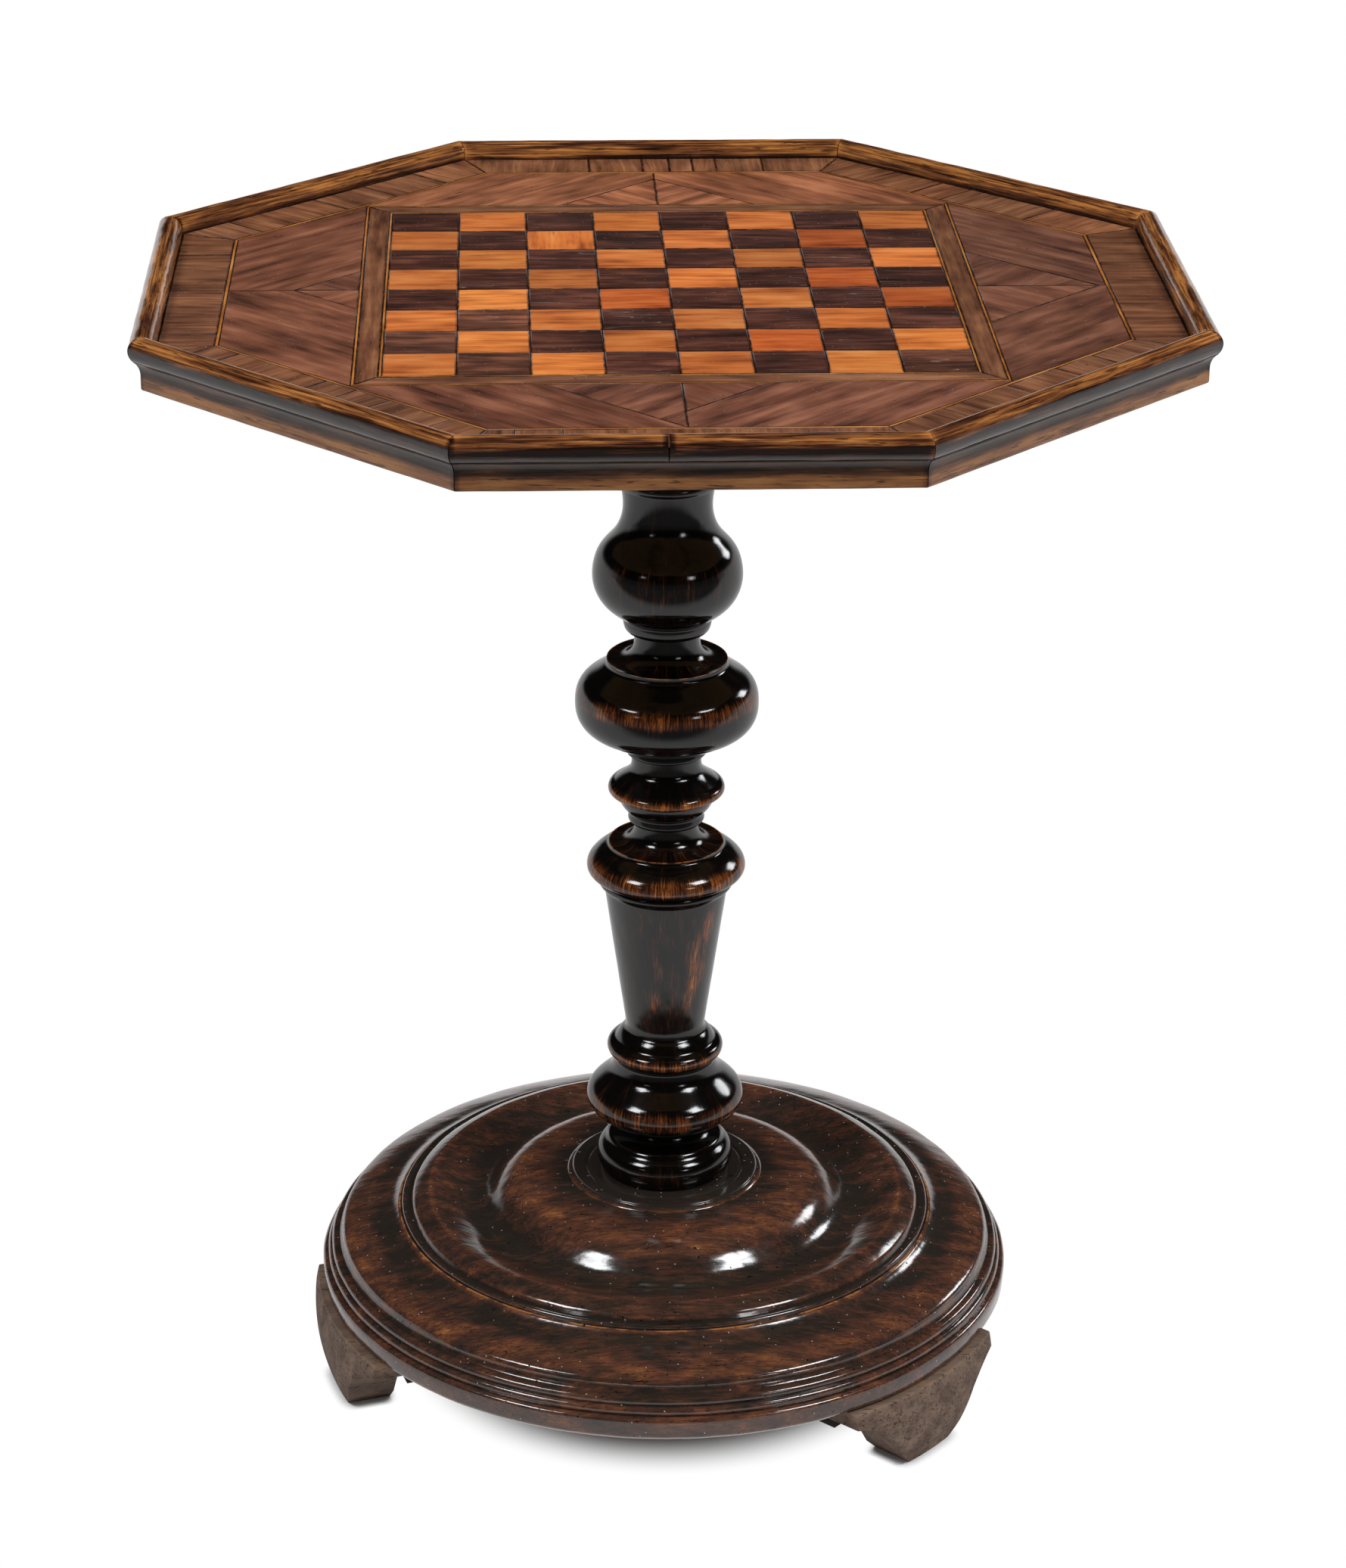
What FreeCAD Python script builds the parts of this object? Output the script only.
# Parquetry game table: an octagonal top with a chessboard laid in veneer, a turned column, and a turned
# base in two steps on three curved feet. Every glued, turned or screwed piece is a solid of its own.
# Millimetres. +Z is up, +X is to the right and -Y is the front, where a player sits.
# The origin is on the floor, under the column's axis.
import FreeCAD, Part
import math
import os

V = FreeCAD.Vector

# Heights, from the floor up
table_height = 710.0
foot_height = 52.0
plinth_height = 31.0
dome_height = 38.0
collar_height = 3.0
block_height = 22.0
core_thickness = 18.0
veneer_thickness = 1.2
rim_rise = 10.5

# Board and veneer, across the top
squares_per_side = 8
square_size = 41.0
inner_stringing_width = 1.6
board_frame_width = 13.0
outer_stringing_width = 1.6
corner_gap = 1.2
octagon_stringing_width = 2.0
crossband_width = 32.0
core_board_count = 4

# Rim bead and edge moulding
bead_diameter = 15.0
moulding_top_width = 12.5
moulding_face_width = 8.5
moulding_height = 17.5
moulding_face_height = 8.5
moulding_edge_radius = 1.8
moulding_drop = 1.6

# Underside
block_width = 150.0
bearer_length = 430.0
bearer_width = 36.0
bearer_end_chamfer = 12.0
tongue_depth = 6.0
tongue_height = 8.0

# Column
column_radius = 54.8
head_spigot_radius = 22.0
foot_spigot_radius = 20.0
wedge_width = 4.0
wedge_tip_width = 1.5
wedge_depth = 16.0

# Base
base_radius = 218.0
collar_radius = 61.4
foot_count = 3
foot_ledge = 6.0
foot_depth = 32.0
foot_half_width = 67.0
glue_block_depth = 22.0
glue_block_height = 20.0
glue_block_half_length = 60.0

# Wood screws and fits
screw_head_radius = 4.5
screw_head_height = 3.0
screw_shank_radius = 2.3
screw_tip_height = 5.0
screw_tip_radius = 0.4
screw_slot_width = 1.0
screw_slot_depth = 1.2
screw_bite = 12.0
fit_clearance = 0.1
overrun = 5.0

# Sides are named from where a player sits, and angles are those of their outward normals.
octagon_sides = ("front", "front_right", "right", "back_right", "back", "back_left", "left", "front_left")
square_sides = ("front", "right", "back", "left")
front_angle = -90.0
back_foot_angle = 77.0
foot_names = ("foot_back", "foot_left", "foot_right")

# Where the top's front bead is pieced, along its side
bead_joint_share = 0.45

# How far the wedges of lighter grain reach towards the stringing, before and after the middle of a side
ground_wedge_shares = {
    "front": (1.0, 0.65),
    "right": (0.95, 0.95),
    "back": (0.8, 0.8),
    "left": (0.5, 0.5),
}

# Where the crossbanding is pieced, anticlockwise along each side as seen from above
crossband_seam_shares = {
    "front": (0.07, 0.19),
    "front_right": (0.2, 0.46, 0.66, 0.81),
    "right": (0.67,),
    "back_right": (0.23, 0.54, 0.65),
    "back": (0.17, 0.31, 0.38, 0.45, 0.53, 0.69),
    "back_left": (0.16, 0.36, 0.56, 0.89),
    "left": (0.15, 0.5, 0.9),
    "front_left": (0.1, 0.43, 0.54, 0.66, 0.88),
}

# Outlines of turned pieces: level as a share of the piece's height, distance from the axis as a share of
# its radius, and how the point is reached. A line is straight. A crest is an arc that arrives upright, at
# the fullest or the narrowest place. A rise is an arc that leaves upright. A number is an arc that bulges
# away from the axis by that share of its chord.
column_shares = (
    # Foot torus, fillet and hollow
    (0.000, 0.721, "line"), (0.019, 0.788, "crest"), (0.037, 0.675, "rise"), (0.043, 0.642, "line"),
    (0.062, 0.447, -0.2), (0.067, 0.447, "line"),
    # Ball, drawn in at its shoulder
    (0.067, 0.520, "line"), (0.075, 0.739, 0.12), (0.094, 0.901, "crest"), (0.109, 0.843, "rise"),
    (0.124, 0.675, "line"), (0.137, 0.591, -0.1), (0.144, 0.577, "line"),
    # Ring under the shaft
    (0.149, 0.609, "line"), (0.158, 0.664, "crest"), (0.167, 0.591, "rise"), (0.168, 0.569, "line"),
    (0.181, 0.482, 0.05),
    # Shaft, widening upwards
    (0.182, 0.464, "line"), (0.191, 0.453, -0.1), (0.363, 0.695, "line"),
    # Bead, shoulder ring, fillet and hollow
    (0.365, 0.712, "line"), (0.376, 0.745, 0.3), (0.377, 0.735, "line"), (0.379, 0.775, "line"),
    (0.390, 0.896, "crest"), (0.402, 0.840, "rise"), (0.414, 0.662, 0.07), (0.416, 0.645, "line"),
    (0.419, 0.645, "line"), (0.439, 0.358, "crest"), (0.445, 0.358, "line"),
    # Cone, ring with a sharp underside, and hollow
    (0.445, 0.387, "line"), (0.452, 0.427, 0.25), (0.457, 0.416, "line"), (0.459, 0.449, "line"),
    (0.470, 0.525, 0.06), (0.479, 0.550, "line"), (0.481, 0.600, "line"), (0.486, 0.655, "crest"),
    (0.494, 0.588, "rise"), (0.500, 0.515, "line"), (0.507, 0.431, -0.05), (0.517, 0.389, "crest"),
    (0.529, 0.389, "line"),
    # Vase, fillet and hollow
    (0.529, 0.423, "line"), (0.534, 0.456, 0.2), (0.536, 0.449, "line"), (0.556, 0.800, "line"),
    (0.588, 1.020, "crest"), (0.599, 1.020, "line"), (0.623, 0.900, "rise"), (0.638, 0.685, -0.04),
    (0.639, 0.662, "line"), (0.645, 0.670, "line"), (0.666, 0.363, "crest"), (0.678, 0.363, "line"),
    # Bell with its long neck
    (0.678, 0.420, "line"), (0.686, 0.485, 0.15), (0.692, 0.493, "line"), (0.694, 0.485, "line"),
    (0.707, 0.651, "line"), (0.746, 0.832, "crest"), (0.775, 0.768, "rise"), (0.792, 0.620, 0.03),
    (0.810, 0.518, -0.05), (0.829, 0.489, "crest"), (0.854, 0.526, "rise"), (0.854, 0.557, "line"),
    (0.862, 0.557, "line"),
    # Flare to the flange under the block
    (0.863, 0.529, "line"), (0.966, 0.839, -0.18), (0.971, 0.839, "line"), (0.984, 1.058, 0.2),
    (1.000, 1.058, "line"),
)
dome_shares = (
    # Rounded foot, skirt in an ogee, arris, groove, bead and groove
    (0.000, 0.943, "line"), (0.103, 0.931, 0.14), (0.289, 0.816, 0.035), (0.432, 0.773, -0.1),
    (0.418, 0.767, "line"), (0.492, 0.756, 0.3), (0.471, 0.749, "line"), (0.471, 0.741, "line"),
    # Broad ring, and the dish that sweeps down from it
    (0.553, 0.733, "line"), (0.684, 0.685, 0.06), (0.482, 0.585, 0.03), (0.611, 0.497, -0.18),
    # Dome in the middle
    (0.963, 0.391, 0.106), (1.000, 0.285, 0.013),
)
plinth_shares = (
    # Band with an eased underside
    (0.000, 0.986, "line"), (0.080, 0.997, "line"), (0.405, 1.000, 0.02),
    # Shoulder, two reeds, and a hollow that is undercut by the dome
    (0.490, 0.981, 0.2), (0.668, 0.970, 0.3), (0.835, 0.959, 0.3), (0.842, 0.950, "line"),
    (1.000, 0.939, -0.12),
)
collar_shares = (
    # Quarter-round edge, then a groove round the column's foot
    (0.000, 1.000, "line"), (0.400, 0.970, 0.1), (0.600, 0.945, "line"), (1.000, 0.930, 0.2),
    (1.000, 0.820, "line"), (0.700, 0.795, "line"), (1.000, 0.770, "line"),
)
plinth_floor_share = plinth_shares[0][1]

# A foot from the side: level as a share of its height, and its outer face beyond or within the ledge as a
# share of its depth. From the front: half width as a share of the widest.
foot_face_shares = ((0.0, -0.12, "line"), (0.62, 0.08, "crest"), (1.0, 0.0, "rise"))
foot_side_shares = (
    (0.00, 0.29, "line"), (0.16, 0.42, "line"), (0.54, 0.60, "line"), (0.81, 1.0, -0.08), (1.00, 1.0, "line"),
)

# Places of the screws, as shares of the half length or half width of what they hold
bearer_screw_shares = (-0.84, -0.34, 0.34, 0.84)
block_screw_share = 0.74
dome_screw_share = 0.57
dome_bite_share = 0.36
foot_screw_share = 0.6
plinth_bite_share = 0.7

# Levels and distances that follow from the sizes above
veneer_top = table_height - rim_rise
veneer_bottom = veneer_top - veneer_thickness
core_bottom = veneer_bottom - core_thickness
column_top = core_bottom - block_height
plinth_top = foot_height + plinth_height
dome_top = plinth_top + dome_height
column_seat = dome_top + collar_height
column_length = column_top - column_seat
board_half = squares_per_side * square_size / 2
inner_stringing_half = board_half + inner_stringing_width
board_frame_half = inner_stringing_half + board_frame_width
outer_stringing_half = board_frame_half + outer_stringing_width
ground_half = outer_stringing_half * math.sqrt(2) + corner_gap
octagon_stringing_half = ground_half + octagon_stringing_width
core_half = octagon_stringing_half + crossband_width
bead_radius = bead_diameter / 2
bead_middle = table_height - bead_radius
bearer_place = (block_width + bearer_width) / 2
foot_radius = base_radius * plinth_floor_share + foot_ledge
foot_back_place = foot_radius - foot_depth
glue_block_place = foot_back_place - glue_block_depth / 2


def turn(shape, degrees):
    """Turn a shape about the column's axis, anticlockwise from above."""
    return shape.rotated(V(0, 0, 0), V(0, 0, 1), degrees)


def arc_middle(start, end, form):
    """Middle point of the arc from start to end, in the XZ plane."""
    if form in ("crest", "rise"):
        upright, other = (end, start) if form == "crest" else (start, end)
        across = other.x - upright.x
        radius = (across ** 2 + (other.z - upright.z) ** 2) / (2 * abs(across))
        centre = V(upright.x + math.copysign(radius, across), 0, upright.z)
        towards = (start - centre) + (end - centre)
        return centre + towards.normalize() * radius
    chord = end - start
    return start + chord / 2 + V(chord.z, 0, -chord.x) * form


def outline_face(rows):
    """Face in the XZ plane inside points of (level, across, form), closed by a straight line."""
    edges = []
    for (level, across, _), (next_level, next_across, form) in zip(rows, rows[1:]):
        start = V(across, 0, level)
        end = V(next_across, 0, next_level)
        if form == "line":
            edges.append(Part.LineSegment(start, end).toShape())
        else:
            edges.append(Part.Arc(start, arc_middle(start, end, form), end).toShape())
    edges.append(Part.LineSegment(end, V(rows[0][1], 0, rows[0][0])).toShape())
    return Part.Face(Part.Wire(edges))


def sized(shares, bottom, height, radius):
    """Rows of an outline at a piece's real place and size."""
    return [(bottom + level * height, across * radius, form) for level, across, form in shares]


def turned(rows):
    """Solid turned about the Z axis from the rows of its outer outline."""
    bottom, top = rows[0][0], rows[-1][0]
    closed = [(bottom, 0, "line")] + rows + [(top, 0, "line")]
    return outline_face(closed).revolve(V(0, 0, 0), V(0, 0, 1), 360)


def cylinder(radius, bottom, top):
    return Part.makeCylinder(radius, top - bottom, V(0, 0, bottom))


def box(x_low, x_high, y_low, y_high, z_low, z_high):
    return Part.makeBox(x_high - x_low, y_high - y_low, z_high - z_low, V(x_low, y_low, z_low))


def prism(points, bottom, top):
    """Upright prism on a closed outline of (x, y) points."""
    corners = [V(x, y, bottom) for x, y in points]
    return Part.Face(Part.makePolygon(corners + corners[:1])).extrude(V(0, 0, top - bottom))


def sector(sides, reach, bottom, top):
    """Wedge from the axis that holds one side of a regular polygon, facing +X."""
    half_side = reach * math.tan(math.pi / sides)
    return prism([(0, 0), (reach, -half_side), (reach, half_side)], bottom, top)


def mitred_length(rows, sides):
    """One side of a mitred frame, facing +X, from a section in rows of (level, outward, form)."""
    levels = [row[0] for row in rows]
    reach = max(row[1] for row in rows) + overrun
    half_side = reach * math.tan(math.pi / sides)
    bar = outline_face(rows).extrude(V(0, half_side + half_side, 0)).translated(V(0, -half_side, 0))
    return bar.common(sector(sides, reach, min(levels) - overrun, max(levels) + overrun))


def side_angle(index, sides):
    return front_angle + index * 360 / sides


def mitred_frame(rows, sides):
    """All sides of a mitred frame, from the front one round."""
    length = mitred_length(rows, sides)
    return [turn(length, side_angle(index, sides)) for index in range(sides)]


def strip_rows(inner, outer):
    """Section of a strip of veneer between two distances from the middle."""
    return [(veneer_bottom, inner, "line"), (veneer_bottom, outer, "line"),
            (veneer_top, outer, "line"), (veneer_top, inner, "line")]


def cut_along(solid, places):
    """Cut a solid that faces +X into lengths at places along Y."""
    bounds = solid.BoundBox
    ends = [bounds.YMin - overrun, *places, bounds.YMax + overrun]
    reach, bottom, top = bounds.XMax + overrun, bounds.ZMin - overrun, bounds.ZMax + overrun
    return [solid.common(box(0, reach, low, high, bottom, top)) for low, high in zip(ends, ends[1:])]


def polygon_plate(half, sides, bottom, top):
    """Plate with equal sides, half its width across the flats, one flat to the front."""
    corner_reach = half / math.cos(math.pi / sides)
    angles = [math.pi * (2 * index + 1) / sides for index in range(sides)]
    return prism([(corner_reach * math.cos(angle), corner_reach * math.sin(angle)) for angle in angles],
                 bottom, top)


def screw_shape(length, clearance=0):
    """Countersunk wood screw with its head's face at the origin, pointing up, or the hole for it."""
    shank = screw_shank_radius + clearance
    body = turned([(0, screw_head_radius + clearance, "line"), (screw_head_height, shank, "line"),
                   (length - screw_tip_height, shank, "line"),
                   (length + clearance, screw_tip_radius + clearance, "line")])
    if clearance:
        return body
    return body.cut(box(-screw_head_radius, screw_head_radius, -screw_slot_width / 2, screw_slot_width / 2,
                        0, screw_slot_depth))


def screws(places, length, clearance=0):
    """Screws, or the holes for them, at places of (x, y, z)."""
    shape = screw_shape(length, clearance)
    return [shape.translated(V(*place)) for place in places]


def round_the_axis(distance, along, level, angles):
    """Places at a distance from the axis and along the tangent, turned to each angle."""
    places = []
    for angle in angles:
        across = math.radians(angle)
        places.append((distance * math.cos(across) - along * math.sin(across),
                       distance * math.sin(across) + along * math.cos(across), level))
    return places


bearer_screw_places = [(side * bearer_place, share * bearer_length / 2, column_top)
                       for side in (-1, 1) for share in bearer_screw_shares]
block_screw_reach = block_screw_share * block_width / 2
block_screw_places = [(x_side * block_screw_reach, y_side * block_screw_reach, column_top)
                      for x_side in (-1, 1) for y_side in (-1, 1)]
top_screw_length = block_height + screw_bite
foot_angles = [back_foot_angle + index * 360 / foot_count for index in range(foot_count)]
foot_screw_along = foot_screw_share * foot_half_width
foot_screw_level = foot_height - glue_block_height
foot_screw_places = (round_the_axis(glue_block_place, -foot_screw_along, foot_screw_level, foot_angles)
                     + round_the_axis(glue_block_place, foot_screw_along, foot_screw_level, foot_angles))
foot_screw_length = glue_block_height + plinth_bite_share * plinth_height
dome_screw_places = round_the_axis(dome_screw_share * base_radius, 0, foot_height, (45, 135, 225, 315))
dome_screw_length = plinth_height + dome_bite_share * dome_height


def core_boards():
    """Boards that run from left to right, jointed along their edges."""
    plate = polygon_plate(core_half, len(octagon_sides), core_bottom, veneer_bottom)
    plate = plate.cut(screws(bearer_screw_places + block_screw_places, top_screw_length, fit_clearance))
    board_width = 2 * core_half / core_board_count
    starts = [index * board_width - core_half for index in range(core_board_count)]
    return [plate.common(box(-core_half, core_half, start, start + board_width, core_bottom, veneer_bottom))
            for start in starts]


def veneer_squares(colour):
    """The squares of one colour: 0 for that of the front left corner, 1 for the other."""
    solids = []
    for column in range(squares_per_side):
        for row in range(squares_per_side):
            if (column + row) % 2 == colour:
                left = column * square_size - board_half
                front = row * square_size - board_half
                solids.append(box(left, left + square_size, front, front + square_size,
                                  veneer_bottom, veneer_top))
    return solids


def ground_wedge(depth, hand):
    """Triangle of veneer at the middle of a side that faces +X, on one hand of it."""
    return prism([(outer_stringing_half, 0), (outer_stringing_half + depth, 0),
                  (outer_stringing_half, hand * depth)], veneer_bottom, veneer_top)


def ground_pieces():
    """Panels and wedges between the board and the octagon of stringing, two of each on four sides."""
    plate = polygon_plate(ground_half, len(octagon_sides), veneer_bottom, veneer_top)
    plate = plate.cut(polygon_plate(outer_stringing_half, len(square_sides), veneer_bottom, veneer_top))
    panels = []
    wedges = []
    for index, side in enumerate(square_sides):
        for hand, share in zip((-1, 1), ground_wedge_shares[side]):
            half_sector = prism([(0, 0), (ground_half, 0), (ground_half, hand * ground_half)],
                                veneer_bottom, veneer_top)
            wedge = ground_wedge(share * (ground_half - outer_stringing_half), hand)
            angle = side_angle(index, len(square_sides))
            panels.append(turn(plate.common(half_sector).cut(wedge), angle))
            wedges.append(turn(wedge, angle))
    return panels, wedges


def crossbanding():
    """Short pieces of veneer round the octagon, mitred at its corners."""
    length = mitred_length(strip_rows(octagon_stringing_half, core_half), len(octagon_sides))
    half_side = octagon_stringing_half * math.tan(math.pi / len(octagon_sides))
    solids = []
    for index, side in enumerate(octagon_sides):
        places = [(2 * share - 1) * half_side for share in crossband_seam_shares[side]]
        for piece in cut_along(length, places):
            solids.append(turn(piece, side_angle(index, len(octagon_sides))))
    return solids


moulding_bottom = core_bottom - moulding_drop
moulding_top = moulding_bottom + moulding_height


def edge_moulding():
    """Flat face with an eased lower edge, and a cove that spreads under the bead: one on each side."""
    face = core_half + moulding_face_width
    rows = [(moulding_bottom, core_half, "line"), (moulding_bottom, face - moulding_edge_radius, "line"),
            (moulding_bottom + moulding_edge_radius, face, "crest"),
            (moulding_bottom + moulding_face_height, face, "line"),
            (moulding_top, core_half + moulding_top_width, -0.13), (moulding_top, core_half, "line")]
    return mitred_frame(rows, len(octagon_sides))


def rim_bead():
    """Three-quarter-round bead that stands on the moulding and above the veneer."""
    rows = [(moulding_top, core_half, "line"), (moulding_top, core_half + moulding_top_width, "line"),
            (bead_middle, core_half + bead_diameter, "crest"),
            (table_height, core_half + bead_radius, "rise"), (bead_middle, core_half, "crest")]
    length = mitred_length(rows, len(octagon_sides))
    half_side = core_half * math.tan(math.pi / len(octagon_sides))
    front = cut_along(length, [(2 * bead_joint_share - 1) * half_side])
    sides = [turn(length, side_angle(index, len(octagon_sides))) for index in range(1, len(octagon_sides))]
    return [turn(piece, front_angle) for piece in front] + sides


def tongue(clearance=0):
    """Tongue on the block's right side, or the groove for it."""
    middle = column_top + block_height / 2
    half_length = block_width / 2 + clearance
    return box(block_width / 2, block_width / 2 + tongue_depth + clearance, -half_length, half_length,
               middle - tongue_height / 2 - clearance, middle + tongue_height / 2 + clearance)


def column_block():
    """Square block under the boards, tongued into both bearers and bored for the column's spigot."""
    half = block_width / 2
    block = box(-half, half, -half, half, column_top, core_bottom)
    block = block.fuse([tongue(), turn(tongue(), 180)]).removeSplitter()
    holes = screws(block_screw_places, top_screw_length, fit_clearance)
    return [block.cut([cylinder(head_spigot_radius + fit_clearance, column_top, core_bottom)] + holes)]


def underside_bearer(side):
    """Cross piece with chamfered ends: side 1 is right of the block and -1 is left of it."""
    half = bearer_length / 2
    outline = [(half - bearer_end_chamfer, column_top), (half, column_top + bearer_end_chamfer),
               (half, core_bottom), (-half, core_bottom), (-half, column_top + bearer_end_chamfer),
               (bearer_end_chamfer - half, column_top)]
    corners = [V(block_width / 2, along, level) for along, level in outline]
    bar = Part.Face(Part.makePolygon(corners + corners[:1])).extrude(V(bearer_width, 0, 0))
    bar = turn(bar.cut(tongue(fit_clearance)), 0 if side > 0 else 180)
    return [bar.cut(screws(bearer_screw_places, top_screw_length, fit_clearance))]


def wedge(radius, end, inwards):
    """Wedge driven into the end of a spigot, along Y; inwards is 1 upwards and -1 downwards."""
    tip = end + inwards * wedge_depth
    corners = [V(across, -radius, level) for across, level in
               ((-wedge_width / 2, end), (wedge_width / 2, end), (wedge_tip_width / 2, tip),
                (-wedge_tip_width / 2, tip))]
    blank = Part.Face(Part.makePolygon(corners + corners[:1])).extrude(V(0, radius + radius, 0))
    return blank.common(cylinder(radius, min(end, tip), max(end, tip)))


head_wedge = wedge(head_spigot_radius, core_bottom, -1)
foot_wedge = wedge(foot_spigot_radius, foot_height, 1)


def column():
    """Turned from one length, with a spigot through the base and another through the block."""
    rows = [(foot_height, foot_spigot_radius, "line"), (column_seat, foot_spigot_radius, "line")]
    rows += sized(column_shares, column_seat, column_length, column_radius)
    rows += [(column_top, head_spigot_radius, "line"), (core_bottom, head_spigot_radius, "line")]
    return [turned(rows).cut([head_wedge, foot_wedge])]


def bored(solid, bottom, top):
    """Turned piece of the base with the hole for the column's spigot."""
    return solid.cut(cylinder(foot_spigot_radius + fit_clearance, bottom, top))


def base_collar():
    collar = turned(sized(collar_shares, dome_top, collar_height, collar_radius))
    return [bored(collar, dome_top, column_seat)]


def base_dome():
    dome = turned(sized(dome_shares, plinth_top, dome_height, base_radius))
    holes = screws(dome_screw_places, dome_screw_length, fit_clearance)
    return [bored(dome, plinth_top, dome_top).cut(holes)]


def base_plinth():
    plinth = turned(sized(plinth_shares, foot_height, plinth_height, base_radius))
    holes = screws(dome_screw_places, dome_screw_length, fit_clearance)
    holes += screws(foot_screw_places, foot_screw_length, fit_clearance)
    return [bored(plinth, foot_height, plinth_top).cut(holes)]


def foot(angle):
    """Curved bracket foot, bowed outwards, its back flat against the glue block."""
    face_rows = [(level * foot_height, foot_radius + share * foot_depth, form)
                 for level, share, form in foot_face_shares]
    side_rows = sized(foot_side_shares, 0, foot_height, foot_half_width)
    side_rows = [(0, 0, "line")] + side_rows + [(foot_height, 0, "line")]
    half = outline_face(side_rows).extrude(V(0, -foot_depth - overrun, 0))
    blank = half.fuse(half.mirror(V(0, 0, 0), V(1, 0, 0))).removeSplitter()
    blank = turn(blank.translated(V(0, -foot_back_place, 0)), 90)
    return [turn(blank.common(turned(face_rows)), angle)]


def foot_blocks():
    """Glue blocks behind the feet, under the plinth."""
    block = box(foot_back_place - glue_block_depth, foot_back_place, -glue_block_half_length,
                glue_block_half_length, foot_screw_level, foot_height)
    holes = screws(foot_screw_places, foot_screw_length, fit_clearance)
    return [turn(block, angle).cut(holes) for angle in foot_angles]


ground_panels, ground_wedges = ground_pieces()
nodes = {
    "core_boards": core_boards(),
    "light_squares": veneer_squares(0),
    "dark_squares": veneer_squares(1),
    "board_inner_stringing": mitred_frame(strip_rows(board_half, inner_stringing_half), len(square_sides)),
    "board_frame": mitred_frame(strip_rows(inner_stringing_half, board_frame_half), len(square_sides)),
    "board_outer_stringing": mitred_frame(strip_rows(board_frame_half, outer_stringing_half),
                                          len(square_sides)),
    "ground_panels": ground_panels,
    "ground_wedges": ground_wedges,
    "octagon_stringing": mitred_frame(strip_rows(ground_half, octagon_stringing_half), len(octagon_sides)),
    "crossbanding": crossbanding(),
    "rim_bead": rim_bead(),
    "edge_moulding": edge_moulding(),
    "column_block": column_block(),
    "underside_bearer_left": underside_bearer(-1),
    "underside_bearer_right": underside_bearer(1),
    "bearer_screws": screws(bearer_screw_places, top_screw_length),
    "block_screws": screws(block_screw_places, top_screw_length),
    "column": column(),
    "head_wedge": [head_wedge],
    "foot_wedge": [foot_wedge],
    "base_collar": base_collar(),
    "base_dome": base_dome(),
    "base_plinth": base_plinth(),
    "foot_blocks": foot_blocks(),
    "foot_screws": screws(foot_screw_places, foot_screw_length),
    "dome_screws": screws(dome_screw_places, dome_screw_length),
}
nodes.update({name: foot(angle) for name, angle in zip(foot_names, foot_angles)})

os.makedirs("parts", exist_ok=True)
for name, shapes in nodes.items():
    solids = [solid for shape in shapes for solid in shape.Solids]
    group = solids[0] if len(solids) == 1 else Part.makeCompound(solids)
    group.exportStep(f"parts/{name}.step")
    print(f"{name}: {len(solids)} solids, {group.Volume / 1000:.1f} cm3, valid {group.isValid()}")
